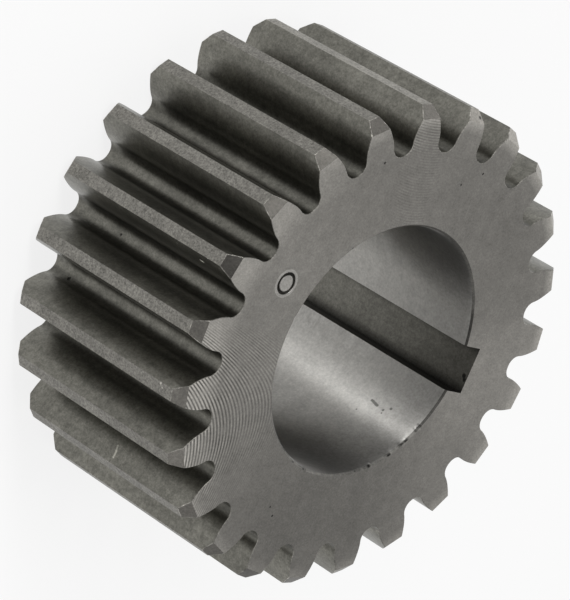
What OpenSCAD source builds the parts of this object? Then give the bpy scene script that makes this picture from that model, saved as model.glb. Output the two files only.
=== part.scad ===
// Gear wheel: a straight-toothed spur gear cut from one piece of steel,
// with a plain bore, one keyway through it and a ring punched in its front face.
// Millimetres. The bore axis is Z, the origin is on it at half the face width,
// the front face looks up (+Z) and the keyway points along +X.

/* [Teeth] */
// Number of teeth
teeth = 23; // [18:1:30]
// Module: pitch diameter divided by the number of teeth
tooth_module = 2.5; // [2.25:0.05:2.8]
// Pressure angle of the involute in degrees
pressure_angle = 20; // [18:0.5:24]
// Height of a tooth above the pitch circle, in modules
addendum = 1; // [0.8:0.05:1.1]
// Depth of a tooth below the pitch circle, in modules
dedendum = 1.25; // [1.1:0.05:1.4]
// Metal taken off each flank at the pitch circle, so that the pair runs with backlash
flank_relief = 0.1; // [0:0.02:0.2]
// Radius of the fillet between a flank and the root
root_fillet = 1.05; // [0.5:0.05:1.2]
// Angle from +X to the middle of the tooth that comes first after the keyway
first_tooth_angle = 11.16; // [0:0.01:15.6]

/* [Body] */
// Face width: length of the teeth along the bore
face_width = 30; // [20:0.5:45]
// How far the bevel on the tooth ends reaches along the teeth
end_bevel_length = 1.25; // [0.5:0.05:2]
// How far the bevel on the tooth ends reaches in from the tips
end_bevel_depth = 1.35; // [0.5:0.05:2]

/* [Bore and keyway] */
// Bore diameter
bore_d = 32; // [24:0.5:36]
// Bevel on both edges of the bore
bore_bevel = 0.4; // [0.2:0.05:1]
// Width of the keyway
keyway_width = 6; // [4:0.5:10]
// Depth of the keyway beyond the bore wall
keyway_depth = 2.8; // [1.5:0.1:4]

/* [Punched mark] */
// Outer diameter of the punched ring
mark_d = 2.8; // [2:0.1:4]
// Width of the punched groove
mark_groove = 0.4; // [0.3:0.05:0.8]
// Depth of the punched groove
mark_depth = 0.25; // [0.1:0.05:0.5]
// Direction of the mark from the bore axis, measured from +X
mark_angle = 163.8; // [90:0.1:270]

/* [Hidden] */
$fn = 120;

// Points along one flank, and along one root fillet
flank_steps = 9;
fillet_steps = 6;
// How far cutters run past the surface they cut
over = 1;

pitch_r = teeth * tooth_module / 2;
base_r = pitch_r * cos(pressure_angle);
tip_r = pitch_r + addendum * tooth_module;
root_r = pitch_r - dedendum * tooth_module;
// The flanks run a little past the tip circle, where the turned blank trims them
flank_end_r = tip_r + 0.1 * tooth_module;
bore_r = bore_d / 2;
keyway_r = bore_r + keyway_depth;
// The mark sits in the middle of the plain ring between the bore's bevel and the roots
mark_r = (bore_r + bore_bevel + root_r) / 2;

// Angle, in degrees, that an involute turns through from its base circle out to radius r
function involute_turn(r) = tan(acos(base_r / r)) * 180 / PI - acos(base_r / r);

// Half of a tooth's angular thickness at the base circle
base_half = 90 / teeth - flank_relief / pitch_r * 180 / PI + involute_turn(pitch_r);

// The fillet's centre lies on this circle, and it meets the flank at fillet_end_r
fillet_centre_r = root_r + root_fillet;
fillet_end_r = sqrt(pow(fillet_centre_r, 2) - pow(root_fillet, 2));
flank_start_r = max(base_r, fillet_end_r);

function polar(r, angle) = [r * cos(angle), r * sin(angle)];

// One side of a tooth from the root outward, for side = -1 or 1, about the angle middle
function flank(middle, side) = [
    for (i = [0:flank_steps])
        let (r = flank_start_r + (flank_end_r - flank_start_r) * i / flank_steps)
        polar(r, middle + side * (base_half - involute_turn(r)))
];

// The rounded corner at the foot of that side, from the root circle to the flank
function fillet(middle, side) = let (
    lean = asin(root_fillet / fillet_centre_r),
    centre_angle = middle + side * (base_half + lean),
    centre = polar(fillet_centre_r, centre_angle),
    from = centre_angle + 180,
    sweep = side * (90 - lean)
) [
    for (i = [0:fillet_steps])
        centre + polar(root_fillet, from + sweep * i / fillet_steps)
];

function backwards(list) = [for (i = [len(list) - 1:-1:0]) list[i]];

function tooth(middle) = concat(
    [polar(root_r, middle - 180 / teeth)],
    fillet(middle, -1),
    flank(middle, -1),
    backwards(flank(middle, 1)),
    backwards(fillet(middle, 1))
);

// Outline of all the teeth, seen from the front
module toothed_outline() {
    polygon([
        for (i = [0:teeth - 1])
            each tooth(first_tooth_angle + i * 360 / teeth)
    ]);
}

// The turned blank: a disc at tip size with both rims bevelled
module blank() {
    h = face_width / 2;
    rotate_extrude()
        polygon([
            [0, -h],
            [tip_r - end_bevel_depth, -h],
            [tip_r, -h + end_bevel_length],
            [tip_r, h - end_bevel_length],
            [tip_r - end_bevel_depth, h],
            [0, h]
        ]);
}

// Everything that boring takes away, with the bevel at each end
module bore_cut() {
    h = face_width / 2;
    mouth_r = bore_r + bore_bevel + over;
    rotate_extrude()
        polygon([
            [0, -h - over],
            [mouth_r, -h - over],
            [bore_r, -h + bore_bevel],
            [bore_r, h - bore_bevel],
            [mouth_r, h + over],
            [0, h + over]
        ]);
}

// The broached keyway runs the whole length of the bore
module keyway_cut() {
    translate([0, -keyway_width / 2, -face_width / 2 - over])
        cube([keyway_r, keyway_width, face_width + 2 * over]);
}

// Shallow ring groove punched in the front face
module mark_cut() {
    rotate([0, 0, mark_angle])
        translate([mark_r, 0, face_width / 2 - mark_depth])
            difference() {
                cylinder(d = mark_d, h = mark_depth + over);
                translate([0, 0, -over])
                    cylinder(d = mark_d - 2 * mark_groove, h = mark_depth + 3 * over);
            }
}

module gear_wheel() {
    color([0.46, 0.45, 0.43])
        difference() {
            intersection() {
                blank();
                translate([0, 0, -face_width / 2 - over])
                    linear_extrude(height = face_width + 2 * over)
                        toothed_outline();
            }
            bore_cut();
            keyway_cut();
            mark_cut();
        }
}

gear_wheel();
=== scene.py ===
"""A steel spur gear with bevelled teeth, a keyed bore and a ring punched in its face."""

import math

import bmesh
import bpy
from bpy.props import FloatProperty, FloatVectorProperty, IntProperty, PointerProperty
from mathutils import Matrix, Vector


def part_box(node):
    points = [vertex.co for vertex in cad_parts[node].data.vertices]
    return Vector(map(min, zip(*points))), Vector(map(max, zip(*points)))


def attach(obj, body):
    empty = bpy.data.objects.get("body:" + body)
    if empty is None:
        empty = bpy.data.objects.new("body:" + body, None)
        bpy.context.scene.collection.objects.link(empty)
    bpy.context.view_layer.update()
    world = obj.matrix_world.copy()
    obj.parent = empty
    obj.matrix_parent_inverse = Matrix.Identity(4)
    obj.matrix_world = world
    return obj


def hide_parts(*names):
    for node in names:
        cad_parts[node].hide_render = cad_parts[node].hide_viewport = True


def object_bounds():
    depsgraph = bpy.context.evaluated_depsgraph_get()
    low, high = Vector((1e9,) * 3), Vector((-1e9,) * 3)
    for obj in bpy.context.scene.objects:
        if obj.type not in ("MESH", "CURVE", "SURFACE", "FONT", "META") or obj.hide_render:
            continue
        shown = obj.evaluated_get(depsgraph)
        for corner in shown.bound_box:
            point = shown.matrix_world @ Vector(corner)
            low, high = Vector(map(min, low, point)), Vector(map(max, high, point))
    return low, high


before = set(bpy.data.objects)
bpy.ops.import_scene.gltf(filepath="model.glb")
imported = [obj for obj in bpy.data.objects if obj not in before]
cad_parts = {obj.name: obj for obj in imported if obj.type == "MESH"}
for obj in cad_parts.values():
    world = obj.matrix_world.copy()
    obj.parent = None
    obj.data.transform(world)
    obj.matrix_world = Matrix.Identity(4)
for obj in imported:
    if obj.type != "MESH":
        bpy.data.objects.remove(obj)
CAD_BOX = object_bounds()
LOW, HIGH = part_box("gear_wheel")

bl_info = {
    "name": "Spur gear in machined steel",
    "version": (1, 0, 0),
    "blender": (4, 5, 0),
    "location": "3D View > Sidebar > Gear wheel",
    "description": "A spur gear with bevelled teeth, a keyed bore and a punched ring",
    "category": "Add Mesh",
}

MM = 0.001
# Two places closer together than this, in metres, count as one
NEAR = 1e-6
(STEEL_FACE, TOOTH_END, TIP_LAND, FLANK, BORE_WALL, BORE_EDGE, KEYWAY, SHARP_EDGE, GROOVE,
 PUNCH_RIM, END_BURR) = range(11)


class GearSizes(bpy.types.PropertyGroup):
    """Real sizes of the gear, as they are cut"""

    teeth: IntProperty(name="Teeth", description="Number of teeth", default=23, min=12)
    tooth_module: FloatProperty(
        name="Module", description="Pitch diameter divided by the teeth",
        default=2.5 * MM, unit="LENGTH")
    pressure_angle: FloatProperty(
        name="Pressure angle", description="Slope of the involute flanks",
        default=math.radians(20), subtype="ANGLE")
    addendum: FloatProperty(
        name="Addendum", description="Tooth height above the pitch circle, in modules", default=1.0)
    dedendum: FloatProperty(
        name="Dedendum", description="Tooth depth below the pitch circle, in modules", default=1.25)
    flank_relief: FloatProperty(
        name="Flank relief", description="Metal taken off each flank for backlash",
        default=0.1 * MM, unit="LENGTH")
    root_fillet: FloatProperty(
        name="Root fillet", description="Radius between a flank and the root",
        default=1.45 * MM, unit="LENGTH")
    first_tooth_angle: FloatProperty(
        name="First tooth", description="Angle from the keyway to the first tooth",
        default=math.radians(11.16), subtype="ANGLE")
    face_width: FloatProperty(
        name="Face width", description="Length of the teeth",
        default=HIGH[2] - LOW[2], unit="LENGTH")
    end_bevel_length: FloatProperty(
        name="End bevel length", description="Reach of the end bevel along a tooth",
        default=1.25 * MM, unit="LENGTH")
    end_bevel_depth: FloatProperty(
        name="End bevel depth", description="Reach of the end bevel in from the tips",
        default=1.35 * MM, unit="LENGTH")
    bore_d: FloatProperty(
        name="Bore", description="Bore diameter", default=32 * MM, unit="LENGTH")
    bore_bevel: FloatProperty(
        name="Bore bevel", description="Bevel on the bore's edges",
        default=0.4 * MM, unit="LENGTH")
    keyway_width: FloatProperty(
        name="Keyway width", description="Width of the slot", default=6 * MM, unit="LENGTH")
    keyway_depth: FloatProperty(
        name="Keyway depth", description="Depth beyond the bore wall",
        default=2.8 * MM, unit="LENGTH")
    mark_d: FloatProperty(
        name="Ring", description="Punched ring's diameter", default=2.8 * MM, unit="LENGTH")
    mark_angle: FloatProperty(
        name="Ring angle", description="Direction of the punched ring from the bore",
        default=math.radians(163.8), subtype="ANGLE")
    edge_break: FloatProperty(
        name="Edge break", description="Tiny bevel left on the tooth edges",
        default=0.07 * MM, unit="LENGTH")


class SteelColours(bpy.types.PropertyGroup):
    """Colours of the cut surfaces"""

    face: FloatVectorProperty(
        name="Faces", description="Turned front and back faces", subtype="COLOR", size=3,
        default=(0.214, 0.206, 0.19))
    land: FloatVectorProperty(
        name="Tooth tips", description="Turned tips of the teeth", subtype="COLOR", size=3,
        default=(0.195, 0.188, 0.17))
    flank: FloatVectorProperty(
        name="Flanks", description="Hobbed flanks and roots", subtype="COLOR", size=3,
        default=(0.157, 0.153, 0.134))
    tooth_end: FloatVectorProperty(
        name="Tooth ends", description="Turned bevels on the tooth ends", subtype="COLOR", size=3,
        default=(0.21, 0.2, 0.182))
    bore: FloatVectorProperty(
        name="Bore", description="Ground bore", subtype="COLOR", size=3,
        default=(0.39, 0.382, 0.363))
    bore_edge: FloatVectorProperty(
        name="Bore edge", description="Bevel round the bore", subtype="COLOR", size=3,
        default=(0.165, 0.16, 0.148))
    keyway: FloatVectorProperty(
        name="Keyway", description="Broached slot", subtype="COLOR", size=3,
        default=(0.15, 0.146, 0.129))
    edge: FloatVectorProperty(
        name="Edges", description="Bright broken edges", subtype="COLOR", size=3,
        default=(0.26, 0.252, 0.23))
    burr: FloatVectorProperty(
        name="Burrs", description="Bright ragged edges of the tooth ends", subtype="COLOR", size=3,
        default=(0.31, 0.298, 0.272))
    groove: FloatVectorProperty(
        name="Punched groove", description="Oil and dirt in the punched groove",
        subtype="COLOR", size=3, default=(0.05, 0.048, 0.043))
    punch_rim: FloatVectorProperty(
        name="Punched rim", description="Metal pushed up round the groove", subtype="COLOR", size=3,
        default=(0.33, 0.32, 0.3))


class StudioLevels(bpy.types.PropertyGroup):
    """Brightness of the studio"""

    sky: FloatProperty(name="Surroundings", description="Even white light from all round", default=0.82)
    key: FloatProperty(
        name="Key light", description="Tall strip lamp, in watts", default=1.7, unit="POWER")
    top: FloatProperty(
        name="Top light", description="Soft lamp over the gear, in watts", default=0.4, unit="POWER")
    floor: FloatVectorProperty(
        name="Floor", description="Colour of the floor", subtype="COLOR", size=3,
        default=(0.9, 0.9, 0.9))


class ToothForm:
    """Radii and angles that follow from the gear's sizes"""

    def __init__(self, s):
        self.top = s.face_width / 2
        self.pitch_r = s.teeth * s.tooth_module / 2
        self.base_r = self.pitch_r * math.cos(s.pressure_angle)
        self.tip_r = self.pitch_r + s.addendum * s.tooth_module
        self.root_r = self.pitch_r - s.dedendum * s.tooth_module
        self.bevel_r = self.tip_r - s.end_bevel_depth
        self.half_pitch = math.pi / s.teeth
        relief = s.flank_relief / self.pitch_r
        self.base_half = self.half_pitch / 2 - relief + self.turn(self.pitch_r)
        self.fillet = s.root_fillet
        self.fillet_centre_r = self.root_r + s.root_fillet
        self.fillet_end_r = math.sqrt(self.fillet_centre_r ** 2 - s.root_fillet ** 2)
        # The toothed ring is made down to this radius
        self.hub_r = self.root_r - s.tooth_module / 2
        self.bore_r = s.bore_d / 2
        self.lip_r = self.bore_r + s.bore_bevel
        self.key_half = s.keyway_width / 2
        self.key_r = self.bore_r + s.keyway_depth
        self.mark_r = (self.lip_r + self.root_r) / 2

    def turn(self, r):
        """Angle that the involute turns through from its base circle to radius r"""
        slope = math.acos(self.base_r / r)
        return math.tan(slope) - slope


def polar(r, angle, z=0.0):
    return Vector((r * math.cos(angle), r * math.sin(angle), z))


def radius(v):
    return math.hypot(v.co.x, v.co.y)


def half_tooth_outline(form):
    """The clockwise side of a tooth, from the middle of the space beside it up to the tip"""
    points = [polar(form.root_r, -form.half_pitch)]
    lean = math.asin(form.fillet / form.fillet_centre_r)
    middle = -form.base_half - lean
    centre = polar(form.fillet_centre_r, middle)
    fillet_steps, flank_steps, bevel_steps = 9, 12, 3
    for i in range(fillet_steps + 1):
        angle = middle + math.pi - (math.pi / 2 - lean) * i / fillet_steps
        points.append(centre + polar(form.fillet, angle))
    start = max(form.base_r, form.fillet_end_r)
    radii = [start + (form.bevel_r - start) * i / flank_steps for i in range(flank_steps + 1)]
    beyond = form.tip_r - form.bevel_r
    radii += [form.bevel_r + beyond * (i + 1) / bevel_steps for i in range(bevel_steps)]
    points += [polar(r, form.turn(r) - form.base_half) for r in radii]
    return points


def cut_teeth(bm, s, form):
    """The toothed ring outside the hub: one tooth, copied round and mirrored to the back"""
    side = half_tooth_outline(form)
    outline = side + [Vector((p.x, -p.y, 0)) for p in reversed(side)]
    hub_steps = 6
    hub = [polar(form.hub_r, form.half_pitch * (1 - 2 * i / hub_steps)) for i in range(hub_steps + 1)]
    lift = Vector((0, 0, form.top))
    rim = [bm.verts.new(p + lift) for p in outline]
    bm.faces.new(rim + [bm.verts.new(p + lift) for p in hub])
    bevel_line = [v for v in rim if abs(radius(v) - form.bevel_r) < NEAR]
    bmesh.ops.connect_verts(bm, verts=bevel_line)
    rim_set = set(rim)
    edges = [e for e in bm.edges if e.is_boundary and rim_set.issuperset(e.verts)]
    near_end = 2 * s.end_bevel_length
    for drop in (near_end, form.top - near_end):
        made = bmesh.ops.extrude_edge_only(bm, edges=edges)["geom"]
        verts = [g for g in made if isinstance(g, bmesh.types.BMVert)]
        edges = [g for g in made if isinstance(g, bmesh.types.BMEdge)]
        edges = [e for e in edges if set(verts).issuperset(e.verts)]
        bmesh.ops.translate(bm, verts=verts, vec=(0, 0, -drop))
    bmesh.ops.spin(
        bm, geom=bm.verts[:] + bm.edges[:] + bm.faces[:], cent=(0, 0, 0), axis=(0, 0, 1),
        angle=2 * math.pi * (s.teeth - 1) / s.teeth, steps=s.teeth - 1, use_duplicate=True)
    bmesh.ops.remove_doubles(bm, verts=bm.verts, dist=NEAR)
    bmesh.ops.rotate(
        bm, verts=bm.verts, cent=(0, 0, 0), matrix=Matrix.Rotation(s.first_tooth_angle, 3, "Z"))
    bmesh.ops.mirror(
        bm, geom=bm.verts[:] + bm.edges[:] + bm.faces[:], matrix=Matrix.Identity(4),
        merge_dist=NEAR, axis="Z")


def bore_and_broach(bm, form):
    """The bore with its bevelled edges and a narrow ring of each face, then the keyway's walls"""
    # The bevel's inner half is worn round into the bore wall, here in millimetres out from
    # the wall and down from the face
    worn = ((0.16, 0.24), (0.07, 0.5), (0.02, 0.75), (0.0, 1.0), (0.0, 1.4))
    face_ring = (0.6, 0.3, 0.0)
    half = [(form.lip_r + out * MM, form.top) for out in face_ring]
    half += [(form.bore_r + out * MM, form.top - down * MM) for out, down in worn]
    section = half + [(form.bore_r, 0)] + [(r, -z) for r, z in reversed(half)]
    start = math.asin(form.key_half / form.lip_r)
    chain = [bm.verts.new(polar(r, start, z)) for r, z in section]
    links = [bm.edges.new(pair) for pair in zip(chain, chain[1:])]
    bore_steps = 540
    spun = bmesh.ops.spin(
        bm, geom=chain + links, cent=(0, 0, 0), axis=(0, 0, 1), angle=2 * (math.pi - start),
        steps=bore_steps)
    last = sorted(
        (g for g in spun["geom_last"] if isinstance(g, bmesh.types.BMVert)),
        key=lambda v: (-v.co.z, -radius(v) if v.co.z > 0 else radius(v)))
    corners = []
    for ends, side in ((chain, 1), (last, -1)):
        for v in ends:
            r = radius(v)
            v.co.y = side * form.key_half
            v.co.x = math.sqrt(r ** 2 - form.key_half ** 2)
        corner = [bm.verts.new((form.key_r, side * form.key_half, z)) for z in (-form.top, form.top)]
        bm.faces.new(ends + corner)
        corners += corner
    bm.faces.new((corners[0], corners[1], corners[3], corners[2]))


def punch_ring(bm, s, form):
    """The punched ring: metal pushed up outside it, a round-bottomed groove, a flat inside"""
    r = s.mark_d / 2
    # Out from the ring's edge and up from the face, in millimetres
    section = (
        (0.8, 0.0), (0.38, 0.0), (0.2, 0.02), (0.05, 0.03), (0.0, -0.02), (-0.07, -0.18),
        (-0.19, -0.25), (-0.31, -0.18), (-0.38, -0.03), (-0.45, 0.01), (-0.65, 0.0))
    ring_steps = 56
    centre = polar(form.mark_r, s.mark_angle, form.top)
    chain = [bm.verts.new(centre + Vector((r + out * MM, 0, up * MM))) for out, up in section]
    chain.append(bm.verts.new(centre))
    links = [bm.edges.new(pair) for pair in zip(chain, chain[1:])]
    bmesh.ops.spin(
        bm, geom=chain + links, cent=centre, axis=(0, 0, 1), angle=2 * math.pi, steps=ring_steps,
        use_merge=True)
    hub = [v for v in bm.verts if (v.co - centre).length < NEAR]
    bmesh.ops.remove_doubles(bm, verts=hub, dist=NEAR)


def close_faces(bm, form):
    """The plain part of both faces, between the teeth, the bore's lip and the punched ring"""
    bmesh.ops.remove_doubles(bm, verts=bm.verts, dist=NEAR)
    for z in (form.top, -form.top):
        loops = [
            e for e in bm.edges if e.is_boundary and all(abs(v.co.z - z) < NEAR for v in e.verts)]
        bmesh.ops.triangle_fill(
            bm, use_beauty=True, use_dissolve=False, edges=loops, normal=(0, 0, 1))
    bmesh.ops.recalc_face_normals(bm, faces=bm.faces)


def turn_end_bevels(bm, s, form):
    """Lowers the outer ends of the teeth onto a cone"""
    slope = s.end_bevel_length / s.end_bevel_depth
    for v in bm.verts:
        beyond = radius(v) - form.bevel_r
        if beyond > NEAR and abs(v.co.z) > form.top - NEAR:
            v.co.z = math.copysign(form.top - beyond * slope, v.co.z)
    bm.normal_update()


def name_surfaces(bm, s, form):
    """Gives each face the finish of the tool that cut it"""
    mark = polar(form.mark_r, s.mark_angle, form.top)
    groove_width, rim_width = 0.38 * MM, 0.4 * MM
    # How much of a face's direction runs along the bore, on walls, bevels and flat faces
    upright, sloped, flat = 0.5, 0.3, 0.97
    for face in bm.faces:
        middle = face.calc_center_median()
        r = math.hypot(middle.x, middle.y)
        across = abs(face.normal.z)
        in_slot = 0.9 * form.bore_r < middle.x < form.key_r + NEAR
        from_mark = (middle - mark).length - s.mark_d / 2
        if in_slot and abs(middle.y) < form.key_half + NEAR and across < upright:
            face.material_index = KEYWAY
        elif middle.z > 0 and from_mark < rim_width:
            face.material_index = GROOVE if -groove_width < from_mark < 0 else PUNCH_RIM
        elif r > form.bevel_r and sloped < across < flat:
            face.material_index = TOOTH_END
        elif across > flat:
            face.material_index = STEEL_FACE
        elif r < form.hub_r:
            face.material_index = BORE_EDGE if across > upright else BORE_WALL
        elif r > form.tip_r - 0.05 * MM:
            face.material_index = TIP_LAND
        else:
            face.material_index = FLANK


def break_edges(bm, s, form):
    """A tiny bevel on the teeth's sharp edges: on the faces, round the ends, along the tips"""
    inside = 0.1 * MM
    end_z = form.top - s.end_bevel_length - NEAR
    # Place, width, least angle of the edge in degrees, finish
    passes = (
        ("face", s.edge_break, 28, SHARP_EDGE), ("end", s.edge_break, 20, END_BURR),
        ("tip", 0.7 * s.edge_break, 20, TIP_LAND))
    for place, width, least, finish in passes:
        sharp = []
        for e in bm.edges:
            reach = [radius(v) for v in e.verts]
            lowest = min(abs(v.co.z) for v in e.verts)
            if len(e.link_faces) != 2 or min(reach) < form.hub_r + inside:
                continue
            if lowest > form.top - NEAR and min(reach) < form.bevel_r - NEAR:
                here = "face"
            elif lowest > end_z and max(reach) > form.bevel_r + inside:
                here = "end"
            else:
                here = "tip"
            if here == place and e.calc_face_angle() > math.radians(least):
                sharp.append(e)
        made = bmesh.ops.bevel(
            bm, geom=sharp, offset=width, offset_type="OFFSET", segments=2, profile=0.5,
            affect="EDGES", clamp_overlap=True, material=-1)
        for face in made["faces"]:
            face.material_index = finish
    # Where three of these bevels meet they leave points that lie on each other
    crowded = 0.004 * MM
    bmesh.ops.remove_doubles(bm, verts=bm.verts, dist=crowded)
    bmesh.ops.dissolve_degenerate(bm, dist=crowded, edges=bm.edges)
    bmesh.ops.dissolve_verts(bm, verts=[v for v in bm.verts if len(v.link_edges) == 2])


# Dents on the front edge of the bore: angle from the keyway in degrees, then length along
# the edge and depth in millimetres
BORE_NICKS = (
    (-31.2, 0.9, 0.16), (-40.3, 1.6, 0.14), (-48.8, 1.1, 0.08), (-60.9, 0.8, 0.12),
    (-66.0, 0.8, 0.05), (-102.0, 0.9, 0.1), (-110.5, 0.9, 0.12), (-123.0, 0.8, 0.08),
    (173.0, 0.8, 0.06), (203.0, 0.8, 0.08), (24.0, 0.8, 0.05), (33.0, 0.8, 0.06),
)


def nick_bore_edge(bm, form):
    """Dents the front edge of the bore where it was knocked"""
    edge_r = form.lip_r - 0.1 * MM
    edge_z = form.top - 0.1 * MM
    reach = 0.35 * MM
    downward = 0.9
    for v in bm.verts:
        across = math.hypot(radius(v) - edge_r, v.co.z - edge_z) / reach
        if v.co.z < 0 or across > 1 or radius(v) < form.bore_r - NEAR:
            continue
        if v.co.x > 0 and abs(v.co.y) < form.key_half + NEAR:
            continue
        angle = math.atan2(v.co.y, v.co.x)
        for at, length, depth in BORE_NICKS:
            away = (angle - math.radians(at) + math.pi) % (2 * math.pi) - math.pi
            along = away * edge_r / (length * MM / 2)
            if abs(along) < 1:
                push = depth * MM * (1 - along ** 4) * (1 - across ** 2)
                v.co += polar(1.0, angle, -downward).normalized() * push


def new_material(name, colour, roughness):
    """A metal with the colour and gloss set on the shader itself"""
    material = bpy.data.materials.new(name)
    material.use_nodes = True
    shader = material.node_tree.nodes["Principled BSDF"]
    shader.inputs["Base Color"].default_value = (*colour, 1)
    shader.inputs["Metallic"].default_value = 1.0
    shader.inputs["Roughness"].default_value = roughness
    return material, shader


class NodeDesk:
    """Short calls that add and join shader nodes in one material"""

    def __init__(self, material):
        self.tree = material.node_tree
        self.place = self.tree.nodes.new("ShaderNodeTexCoord").outputs["Object"]

    def add(self, kind, **values):
        node = self.tree.nodes.new(kind)
        for key, value in values.items():
            setattr(node, key, value)
        return node

    def join(self, source, target):
        self.tree.links.new(source, target)

    def fill(self, node, **inputs):
        """Sets or joins a node's inputs, given by name or by an underscore and their number"""
        for key, value in inputs.items():
            socket = int(key[1:]) if key[0] == "_" else key.replace("_", " ")
            target = node.inputs[socket]
            if isinstance(value, bpy.types.NodeSocket):
                self.join(value, target)
            else:
                target.default_value = value
        return node

    def math(self, operation, a, b=0.0):
        node = self.add("ShaderNodeMath", operation=operation)
        return self.fill(node, _0=a, _1=b).outputs[0]

    def times(self, a, b):
        return self.math("MULTIPLY", a, b)

    def plus(self, a, b):
        return self.math("ADD", a, b)

    def stretch(self, scale):
        node = self.add("ShaderNodeMapping")
        return self.fill(node, Vector=self.place, Scale=scale).outputs[0]

    def noise(self, scale, detail=3.0, rough=0.55, at=None):
        node = self.add("ShaderNodeTexNoise")
        self.fill(node, Vector=at or self.place, Scale=scale, Detail=detail, Roughness=rough)
        return node.outputs[0]

    def grain(self, scale, low, high, detail=3.0, rough=0.6):
        """Noise spread evenly from low to high"""
        return self.spread(self.noise(scale, detail, rough), low, high)

    def spread(self, noise, low, high):
        """The middle range of a noise, where nearly all of it lies, taken to low and high"""
        return self.remap(noise, 0.3, 0.7, low, high)

    def remap(self, value, low, high, to_low=0.0, to_high=1.0):
        """The value taken from one range to another and held at its ends"""
        node = self.add("ShaderNodeMapRange")
        return self.fill(node, _0=value, _1=low, _2=high, _3=to_low, _4=to_high).outputs[0]

    def tint(self, colour, factor):
        """The colour made lighter or darker by a factor that is about 1"""
        node = self.add("ShaderNodeMix", data_type="RGBA", blend_type="MULTIPLY")
        grey = self.add("ShaderNodeCombineColor")
        self.fill(grey, Red=factor, Green=factor, Blue=factor)
        self.fill(node, _0=1.0, _6=(*colour, 1), _7=grey.outputs[0])
        return node.outputs[2]

    def bump(self, height, distance, normal=None):
        node = self.add("ShaderNodeBump")
        self.fill(node, Height=height, Distance=distance, Strength=1.0)
        if normal is not None:
            self.join(normal, node.inputs["Normal"])
        return node.outputs[0]

    def rings(self, pitch, distortion=0.0):
        """Circles round the bore axis, one every pitch"""
        node = self.add(
            "ShaderNodeTexWave", wave_type="RINGS", rings_direction="Z", wave_profile="SIN")
        # At a scale of 1 the texture makes one wave in 2 pi / 20
        self.fill(
            node, Vector=self.place, Scale=2 * math.pi / (20 * pitch), Distortion=distortion,
            Detail=2.0, Detail_Scale=1.0)
        return node.outputs["Fac"]

    def along(self, direction):
        """How far the point lies along a direction"""
        node = self.add("ShaderNodeVectorMath", operation="DOT_PRODUCT")
        return self.fill(node, _0=self.place, _1=direction).outputs["Value"]

    def from_axis(self):
        """Distance from the bore axis"""
        flat = self.add("ShaderNodeVectorMath", operation="MULTIPLY")
        self.fill(flat, _0=self.place, _1=(1, 1, 0))
        node = self.add("ShaderNodeVectorMath", operation="LENGTH")
        return self.fill(node, _0=flat.outputs[0]).outputs["Value"]

    def height(self):
        """Height above the middle of the gear"""
        return self.along((0.0, 0.0, 1.0))

    def toward(self, azimuth):
        """Cosine of the angle, seen along the bore, between the point and an azimuth"""
        return self.math("DIVIDE", self.along(polar(1.0, math.radians(azimuth))), self.from_axis())

    def mottle(self, amount):
        """Uneven tone: patches of 10, 2 and 0.7 mm, centred on 1"""
        wide = self.grain(95, 1 - amount, 1 + amount, 4.0)
        patch = self.grain(520, 1 - amount, 1 + amount)
        small = self.grain(1500, 1 - amount, 1 + amount, 2.0)
        return self.times(self.times(wide, patch), small)

    def by_side(self, tone, sides):
        """The tone changed on some sides: azimuth, cosines where it begins and is full, share"""
        for azimuth, begin, full, share in sides:
            tone = self.times(tone, self.remap(self.toward(azimuth), begin, full, 1.0, share))
        return tone

    def spots(self, places, level):
        """Small ragged spots: a tone that is the level in a spot, and a mask that is 0 there"""
        ragged = self.times(self.noise(4200, 2.0, 0.6), 0.22 * MM)
        clean = None
        for *centre, size in places:
            node = self.add("ShaderNodeVectorMath", operation="DISTANCE")
            self.fill(node, _0=self.place, _1=Vector(centre) * MM)
            edge = self.plus(node.outputs["Value"], ragged)
            # 0.11 and 0.13 mm make up for the middle of the raggedness
            mask = self.remap(edge, (0.6 * size + 0.11) * MM, (size + 0.13) * MM)
            clean = mask if clean is None else self.times(clean, mask)
        return self.remap(clean, 0.0, 1.0, level, 1.0), clean


def scratch(start, end, size):
    """Spots in a row, close enough to run together, in millimetres"""
    start, end = Vector(start), Vector(end)
    steps = max(1, math.ceil((end - start).length / (0.6 * size)))
    return tuple((*start.lerp(end, i / steps), size) for i in range(steps + 1))


# Small marks seen on the gear: their place in the frame and their size, in millimetres
FACE_PITS = (
    (-12.49, 22.4, 15, 0.2), (5.24, 24.11, 15, 0.16), (2.21, 22.15, 15, 0.16),
    (-5.46, -22.34, 15, 0.18), (-6.5, -21.26, 15, 0.16), (-11.57, 11.6, 15, 0.18),
)
TOOTH_END_PITS = ((1.02, 30.41, 14.5, 0.25),)
FLANK_PITS = (
    (-25.67, 1.8, -6.58, 0.22), (-25.4, -6.05, -11.67, 0.3), (-25.55, -5.8, -11.9, 0.2))
FLANK_CHIPS = (
    (-26.03, 1.11, -12.42, 0.15), (-30.15, 5.45, 6.01, 0.17),
    *scratch((-20.39, -22.78, 1.44), (-20.17, -22.1, 1.33), 0.15),
    *scratch((-20.17, -22.1, 1.33), (-19.98, -21.47, 1.0), 0.15),
)
FLANK_BURRS = (
    (-29.53, 5.0, 9.93, 0.21), (-29.57, 5.03, 10.28, 0.18), (-30.68, 5.86, 11.6, 0.12))
LAND_CHIPS = (
    (-29.74, -9.55, 11.77, 0.2), (-29.6, -10.0, 12.1, 0.14), (-30.2, -8.1, 9.0, 0.12),
    (-31.1, 2.9, 4.0, 0.1))
BORE_PITS = (
    *scratch((13.64, -8.39, 6.9), (13.5, -8.6, 8.1), 0.21),
    (13.45, -8.68, 9.21, 0.2), (13.79, -8.12, 10.01, 0.22), (12.4, -10.11, 6.2, 0.12),
    (13.2, -9.05, 9.4, 0.12),
)
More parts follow.
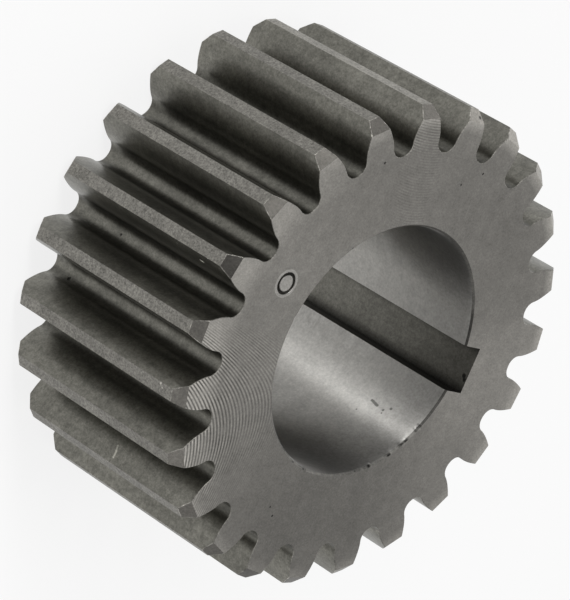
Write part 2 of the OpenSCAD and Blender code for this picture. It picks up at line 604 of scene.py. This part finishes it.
BORE_EDGE_PITS = (
    (13.75, -8.3, 14.85, 0.34), (13.9, -8.1, 14.95, 0.25), (10.8, -12.3, 14.95, 0.2),
    (10.6, -12.45, 14.95, 0.17), *scratch((12.7, -10.15, 14.98), (12.15, -10.8, 14.95), 0.24),
    (7.98, -14.2, 14.9, 0.26), (5.85, -15.1, 14.95, 0.17), (-3.4, -15.85, 14.9, 0.26),
    (-5.7, -15.2, 14.9, 0.26), (-8.8, -13.6, 14.95, 0.2), (14.6, 6.6, 14.85, 0.2),
    (13.4, 8.9, 14.9, 0.17),
)
KEYWAY_PITS = ((18.8, -0.93, 14.42, 0.35), (18.8, -1.35, 14.7, 0.3))


# Coarse marks: azimuth, the cosines where they begin and are full, inner radius in
# millimetres, lean of the lines, strength
CROSSING_MARKS = (
    (204, 0.91, 0.97, 16.5, (6054.0, 3648.0, 0.0), 1.0),
    (105, 0.984, 0.995, 25.5, (1441.0, -7848.0, 0.0), 0.45),
    (231, 0.988, 0.997, 26.5, (6054.0, 3648.0, 0.0), 0.4),
)
# Lines of those marks in each metre out from the axis
CROSSING_LINES = 5041.0


def turned_metal(name, colour, roughness, anisotropy):
    """A metal with fine marks round the bore axis, and the desk that its nodes are laid out on"""
    material, shader = new_material(name, colour, roughness)
    shader.inputs["Anisotropic"].default_value = anisotropy
    # A quarter turn, so that the light is drawn out across the marks
    shader.inputs["Anisotropic Rotation"].default_value = 0.25
    desk = NodeDesk(material)
    tangent = desk.add("ShaderNodeTangent", direction_type="RADIAL", axis="Z")
    desk.join(tangent.outputs[0], shader.inputs["Tangent"])
    return material, shader, desk


def crossing_marks(desk, r):
    """Coarser marks that sweep across the face where the cutter rubbed on its way out"""
    crossing = None
    for azimuth, begin, full, inner, lean, share in CROSSING_MARKS:
        sweep = desk.plus(desk.times(r, CROSSING_LINES), desk.along(lean))
        lines = desk.math("SINE", desk.times(sweep, 2 * math.pi))
        side = desk.remap(desk.toward(azimuth), begin, full, 0.0, share)
        where = desk.times(side, desk.remap(r, inner * MM, 27 * MM, 0.35, 1.0))
        where = desk.times(where, desk.remap(desk.noise(330), 0.35, 0.6, 0.35, 1.0))
        lines = desk.times(lines, where)
        crossing = lines if crossing is None else desk.plus(crossing, lines)
    return crossing


def turned_face(colours):
    """Facing marks every 0.2 mm round the bore, crossed by coarser ones in places, over grain"""
    material, shader, desk = turned_metal("turned_face", colours.face, 0.5, 0.4)
    r = desk.from_axis()
    facing = desk.rings(0.2 * MM, 0.4)
    crossing = crossing_marks(desk, r)

    # Painted sheen: the teeth are brighter than the hub on one side, and towards their bevels on
    # another
    sheen_side = desk.remap(desk.toward(182), 0.6, 0.95, 0.08, 0.45)
    sheen = desk.times(desk.remap(r, 25 * MM, 27.5 * MM), sheen_side)
    rim = desk.by_side(0.42, ((60, 0.6, 0.95, 2.1), (175, 0.62, 0.9, 0.0)))
    rim = desk.times(rim, desk.remap(r, 28.3 * MM, 29.8 * MM))
    tone = desk.times(desk.mottle(0.07), desk.plus(sheen, 1.0))
    tone = desk.times(tone, desk.plus(rim, 1.0))
    # Painted highlight and shade of the turning marks: lighter towards azimuths 0, 200 and 238, darker
    # towards 60 and 273
    tone = desk.by_side(tone, (
        (0, 0.92, 1.0, 1.22), (273, 0.4, 1.0, 0.74), (60, 0.6, 1.0, 0.95), (200, 0.9, 1.0, 1.08),
        (238, 0.9, 1.0, 1.09)))
    tone = desk.times(tone, desk.grain(3600, 0.8, 1.2, rough=0.75))
    tone = desk.times(tone, desk.plus(desk.times(crossing, 0.75), 1.0))
    dark, clean = desk.spots(FACE_PITS + BORE_EDGE_PITS, 0.2)
    tone = desk.times(tone, dark)
    desk.join(desk.tint(colours.face, tone), shader.inputs["Base Color"])

    height = desk.plus(desk.times(facing, 0.12), desk.times(crossing, 0.35))
    height = desk.plus(height, desk.times(clean, 6.0))
    normal = desk.bump(height, 0.012 * MM)
    grain = desk.bump(desk.noise(5200, 4.0, 0.7), 0.006 * MM, normal)
    desk.join(grain, shader.inputs["Normal"])
    return material


def grained_steel(
        name, colour, roughness, speck, mottle, grain_depth=0.004 * MM, streaks=None, sides=(),
        pits=(), chips=(), burrs=(), shaded_wall_y=None, shaded_root_r=None):
    """Steel with mottled tone and fine grain; pits are dark, chips bright, burrs raised"""
    material, shader = new_material(name, colour, roughness)
    desk = NodeDesk(material)
    grain = desk.noise(3600, 3.0, 0.75)
    tone = desk.times(desk.mottle(mottle), desk.spread(grain, 1 - speck, 1 + speck))
    tone = desk.by_side(tone, sides)
    if shaded_wall_y:
        # Painted shade: the keyway is darker in its corners, and towards its front end
        aside = desk.math("ABSOLUTE", desk.along((0.0, 1.0, 0.0)))
        tone = desk.times(tone, desk.remap(aside, shaded_wall_y - 1.2 * MM, shaded_wall_y, 1.0, 0.35))
        tone = desk.times(tone, desk.remap(desk.height(), 11 * MM, -9 * MM, 0.64, 1.0))
    if shaded_root_r:
        # Painted shade: the corners of the roots are darker than the flanks
        r = desk.from_axis()
        tone = desk.times(tone, desk.remap(r, shaded_root_r, shaded_root_r + 0.25 * MM, 0.86, 0.52))
        tone = desk.times(tone, desk.remap(r, shaded_root_r + 0.5 * MM, shaded_root_r + 1.5 * MM, 1.0, 1.92))
    height = grain
    if streaks:
        lines = desk.noise(1.0, 3.0, 0.6, desk.stretch(streaks))
        tone = desk.times(tone, desk.spread(lines, 0.93, 1.07))
        height = desk.plus(height, desk.times(lines, 1.5))
    if pits:
        dark, clean = desk.spots(pits, 0.2)
        tone = desk.times(tone, dark)
        height = desk.plus(height, desk.times(clean, 6.0))
    if chips:
        bright, _ = desk.spots(chips, 2.2)
        tone = desk.times(tone, bright)
    if burrs:
        bright, clean = desk.spots(burrs, 6.0)
        tone = desk.times(tone, bright)
        height = desk.plus(height, desk.times(clean, -45.0))
    desk.join(desk.bump(height, grain_depth), shader.inputs["Normal"])
    desk.join(desk.tint(colour, tone), shader.inputs["Base Color"])
    return material


def ground_bore(colours):
    """A ground bore: bright, with fine marks round the wall that draw the light out along it"""
    material, shader, desk = turned_metal("ground_bore", colours.bore, 0.55, 1.0)
    around_wall = (160, 160, 6000)
    lines = desk.noise(1.0, 3.0, 0.6, desk.stretch(around_wall))
    tone = desk.times(desk.mottle(0.06), desk.spread(lines, 0.97, 1.03))
    tone = desk.times(tone, desk.grain(3200, 0.86, 1.14, rough=0.7))
    # Painted shade: two sides are darker near the front, standing in for a dark reflection
    sides = desk.by_side(1.0, ((-90, 0.84, 0.97, 0.54), (60, 0.86, 0.97, 0.7)))
    front_shade = desk.math("SUBTRACT", 1.0, sides)
    front_shade = desk.times(front_shade, desk.remap(desk.height(), -7 * MM, 10 * MM))
    tone = desk.times(tone, desk.math("SUBTRACT", 1.0, front_shade))
    # Painted reflection: the wall is brighter behind its front end
    tone = desk.times(tone, desk.remap(desk.height(), 13 * MM, -3 * MM, 0.9, 1.42))
    dark, _ = desk.spots(BORE_PITS + BORE_EDGE_PITS, 0.38)
    tone = desk.times(tone, dark)
    desk.join(desk.tint(colours.bore, tone), shader.inputs["Base Color"])
    desk.join(desk.spread(lines, 0.38, 0.5), shader.inputs["Roughness"])
    desk.join(desk.bump(lines, 0.0012 * MM), shader.inputs["Normal"])
    return material


def steel_finishes(colours, form):
    """One material for each way the steel was cut, in the order of the surface names"""
    along_teeth = (1500, 1500, 40)
    # Painted reflections and shade on the tooth ends: lighter on some sides, darker on others
    tooth_end_reflections = (
        (65, 0.6, 0.95, 1.3), (118, 0.94, 0.985, 1.12), (156, 0.91, 0.97, 0.46),
        (226, 0.92, 0.98, 1.35), (270, 0.94, 0.98, 0.63))
    return (
        turned_face(colours),
        grained_steel(
            "turned_tooth_end", colours.tooth_end, 0.42, 0.25, 0.06, sides=tooth_end_reflections,
            pits=TOOTH_END_PITS),
        # The tips get a painted highlight towards azimuth 105
        grained_steel(
            "turned_tip", colours.land, 0.5, 0.5, 0.1, 0.009 * MM,
            sides=((105, 0.972, 0.99, 1.35),), chips=LAND_CHIPS),
        grained_steel(
            "hobbed_flank", colours.flank, 0.36, 0.28, 0.15, streaks=along_teeth, pits=FLANK_PITS,
            chips=FLANK_CHIPS, burrs=FLANK_BURRS, shaded_root_r=form.root_r),
        ground_bore(colours),
        grained_steel(
            "bore_edge", colours.bore_edge, 0.5, 0.3, 0.15, sides=((-2, 0.84, 0.9, 0.45),),
            pits=BORE_EDGE_PITS),
        grained_steel(
            "broached_keyway", colours.keyway, 0.45, 0.25, 0.1, streaks=along_teeth,
            pits=KEYWAY_PITS, shaded_wall_y=form.key_half),
        grained_steel("broken_edge", colours.edge, 0.45, 0.4, 0.25),
        grained_steel("punched_groove", colours.groove, 0.6, 0.3, 0.1),
        grained_steel("punched_rim", colours.punch_rim, 0.45, 0.2, 0.08),
        grained_steel("end_burr", colours.burr, 0.4, 0.7, 0.5),
    )


class GEAR_OT_wheel(bpy.types.Operator):
    """Cut the gear wheel from one piece and finish its surfaces"""

    bl_idname = "gear.wheel"
    bl_label = "Gear wheel"

    def execute(self, context):
        s = context.scene.gear_sizes
        form = ToothForm(s)
        bm = bmesh.new()
        cut_teeth(bm, s, form)
        bore_and_broach(bm, form)
        punch_ring(bm, s, form)
        close_faces(bm, form)
        turn_end_bevels(bm, s, form)
        name_surfaces(bm, s, form)
        break_edges(bm, s, form)
        nick_bore_edge(bm, form)
        open_edges = [e for e in bm.edges if len(e.link_faces) != 2]
        if open_edges:
            raise RuntimeError(f"{len(open_edges)} edges of the gear wheel are open")
        mesh = bpy.data.meshes.new("steel_gear_wheel")
        bm.to_mesh(mesh)
        bm.free()
        for material in steel_finishes(context.scene.gear_colours, form):
            mesh.materials.append(material)
        mesh.shade_smooth()
        sharp_angle = math.radians(12)
        mesh.set_sharp_from_angle(angle=sharp_angle)
        wheel = bpy.data.objects.new("steel_gear_wheel", mesh)
        context.scene.collection.objects.link(wheel)
        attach(wheel, "root")
        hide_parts("gear_wheel")
        return {"FINISHED"}


# The camera's place: its direction and distance from the spot it aims at, its turn about
# its own axis in degrees, and its lens and sensor in millimetres
CAMERA_AZIMUTH = 167.557
CAMERA_ELEVATION = 38.966
CAMERA_DISTANCE = 478.6 * MM
CAMERA_AIM = Vector((-0.487, -0.214, -0.519)) * MM
CAMERA_ROLL = 121.35
CAMERA_LENS = 249.7
CAMERA_SENSOR = 36.0

# Distance of the lamps from the gear, and radius of the floor
LAMP_DISTANCE = 0.6
FLOOR_RADIUS = 3.0
# Share of the floor's look that is plain white to the camera; the rest keeps the shadow
FLOOR_WHITE = 0.82

# Three dimmer patches of the surroundings and a brighter one: azimuth and elevation in
# degrees, the cosines of the angles where the patch begins and where it is full, its level
SKY_PATCHES = (
    (168, 60, 0.78, 0.93, 0.22), (292, 27, 0.78, 0.95, 0.3), (68, 45, 0.82, 0.96, 0.3),
    (22, -6, 0.87, 0.98, 3.2),
)


def aim(thing, spot, roll=0.0):
    """Points a camera or a lamp at a spot, then turns it about its own axis"""
    back = (thing.location - spot).normalized()
    turn = back.to_track_quat("Z", "Y").to_matrix().to_4x4()
    turn = turn @ Matrix.Rotation(math.radians(roll), 4, "Z")
    thing.matrix_world = Matrix.Translation(thing.location) @ turn


def around(azimuth, elevation, distance):
    """A place at that compass angle and height angle from the gear"""
    level = distance * math.cos(math.radians(elevation))
    return polar(level, math.radians(azimuth), distance * math.sin(math.radians(elevation)))


class GEAR_OT_stage(bpy.types.Operator):
    """Set the floor, the lamps and the camera"""

    bl_idname = "gear.stage"
    bl_label = "Studio"

    def execute(self, context):
        scene = context.scene
        levels = scene.gear_studio
        self.floor(scene, levels)
        self.surroundings(scene, levels)
        self.lamp(scene, "key_lamp", around(122, 45, LAMP_DISTANCE), (0.1, 0.7), levels.key)
        self.lamp(scene, "top_lamp", around(-12, 78, LAMP_DISTANCE), (0.3, 0.3), levels.top)
        self.camera(scene)
        scene.view_settings.view_transform = "Standard"
        return {"FINISHED"}

    def floor(self, scene, levels):
        bm = bmesh.new()
        bmesh.ops.create_circle(bm, cap_ends=True, segments=64, radius=FLOOR_RADIUS)
        bmesh.ops.translate(bm, verts=bm.verts, vec=(0, 0, CAD_BOX[0][2]))
        mesh = bpy.data.meshes.new("floor")
        bm.to_mesh(mesh)
        bm.free()
        floor = bpy.data.objects.new("floor", mesh)
        scene.collection.objects.link(floor)
        mesh.materials.append(self.pale_floor(levels))

    def pale_floor(self, levels):
        """Pale paint that the camera sees white with a soft shadow, and metal sees plain white"""
        material = bpy.data.materials.new("pale_floor")
        material.use_nodes = True
        tree = material.node_tree
        tree.nodes.clear()
        output = tree.nodes.new("ShaderNodeOutputMaterial")
        paint = tree.nodes.new("ShaderNodeBsdfDiffuse")
        paint.inputs["Color"].default_value = (*levels.floor, 1)
        white = tree.nodes.new("ShaderNodeEmission")
        path = tree.nodes.new("ShaderNodeLightPath")
        mirrored = tree.nodes.new("ShaderNodeMath")
        mirrored.operation = "MAXIMUM"
        seen = tree.nodes.new("ShaderNodeMath")
        seen.operation = "MULTIPLY_ADD"
        seen.inputs[1].default_value = FLOOR_WHITE
        mix = tree.nodes.new("ShaderNodeMixShader")
        link = tree.links.new
        link(path.outputs["Is Glossy Ray"], mirrored.inputs[0])
        link(path.outputs["Is Transmission Ray"], mirrored.inputs[1])
        link(path.outputs["Is Camera Ray"], seen.inputs[0])
        link(mirrored.outputs[0], seen.inputs[2])
        link(seen.outputs[0], mix.inputs[0])
        link(paint.outputs[0], mix.inputs[1])
        link(white.outputs[0], mix.inputs[2])
        link(mix.outputs[0], output.inputs[0])
        return material

    def surroundings(self, scene, levels):
        """Even light from all round, apart from the dimmer patches and the brighter one"""
        world = bpy.data.worlds.new("studio")
        world.use_nodes = True
        tree = world.node_tree
        tree.nodes["Background"].inputs["Color"].default_value = (1, 1, 1, 1)
        place = tree.nodes.new("ShaderNodeTexCoord")
        strength = None
        for azimuth, elevation, begin, full, level in SKY_PATCHES:
            toward = tree.nodes.new("ShaderNodeVectorMath")
            toward.operation = "DOT_PRODUCT"
            toward.inputs[1].default_value = around(azimuth, elevation, 1.0)
            tree.links.new(place.outputs["Generated"], toward.inputs[0])
            patch = tree.nodes.new("ShaderNodeMapRange")
            patch.interpolation_type = "SMOOTHSTEP"
            sockets = ("From Min", "From Max", "To Min", "To Max")
            for socket, value in zip(sockets, (begin, full, 1.0, level)):
                patch.inputs[socket].default_value = value
            tree.links.new(toward.outputs["Value"], patch.inputs["Value"])
            product = tree.nodes.new("ShaderNodeMath")
            product.operation = "MULTIPLY"
            product.inputs[1].default_value = levels.sky
            if strength is not None:
                tree.links.new(strength, product.inputs[1])
            tree.links.new(patch.outputs[0], product.inputs[0])
            strength = product.outputs[0]
        tree.links.new(strength, tree.nodes["Background"].inputs["Strength"])
        scene.world = world

    def lamp(self, scene, name, place, size, watts):
        data = bpy.data.lights.new(name, "AREA")
        data.shape = "RECTANGLE"
        data.size, data.size_y = size
        data.energy = watts
        lamp = bpy.data.objects.new(name, data)
        scene.collection.objects.link(lamp)
        lamp.location = place
        aim(lamp, Vector((0, 0, 0)))

    def camera(self, scene):
        data = bpy.data.cameras.new("camera")
        data.sensor_fit = "HORIZONTAL"
        data.sensor_width = CAMERA_SENSOR
        data.lens = CAMERA_LENS
        camera = bpy.data.objects.new("camera", data)
        scene.collection.objects.link(camera)
        camera.location = CAMERA_AIM + around(CAMERA_AZIMUTH, CAMERA_ELEVATION, CAMERA_DISTANCE)
        aim(camera, CAMERA_AIM, CAMERA_ROLL)
        scene.camera = camera


class GEAR_PT_panel(bpy.types.Panel):
    """Lists the gear's steps, sizes and colours"""

    bl_idname = "GEAR_PT_panel"
    bl_label = "Gear wheel"
    bl_space_type = "VIEW_3D"
    bl_region_type = "UI"
    bl_category = "Gear wheel"

    def draw(self, context):
        layout = self.layout
        for operator in (GEAR_OT_wheel, GEAR_OT_stage):
            layout.operator(operator.bl_idname)
        for group in ("gear_sizes", "gear_colours", "gear_studio"):
            values = getattr(context.scene, group)
            for name in values.__annotations__:
                layout.prop(values, name)


CLASSES = (GearSizes, SteelColours, StudioLevels, GEAR_OT_wheel, GEAR_OT_stage, GEAR_PT_panel)


def register():
    for item in CLASSES:
        bpy.utils.register_class(item)
    bpy.types.Scene.gear_sizes = PointerProperty(type=GearSizes)
    bpy.types.Scene.gear_colours = PointerProperty(type=SteelColours)
    bpy.types.Scene.gear_studio = PointerProperty(type=StudioLevels)


def unregister():
    del bpy.types.Scene.gear_studio
    del bpy.types.Scene.gear_colours
    del bpy.types.Scene.gear_sizes
    for item in reversed(CLASSES):
        bpy.utils.unregister_class(item)


def main():
    register()
    bpy.ops.gear.wheel()
    bpy.ops.gear.stage()


if __name__ == "__main__":
    main()
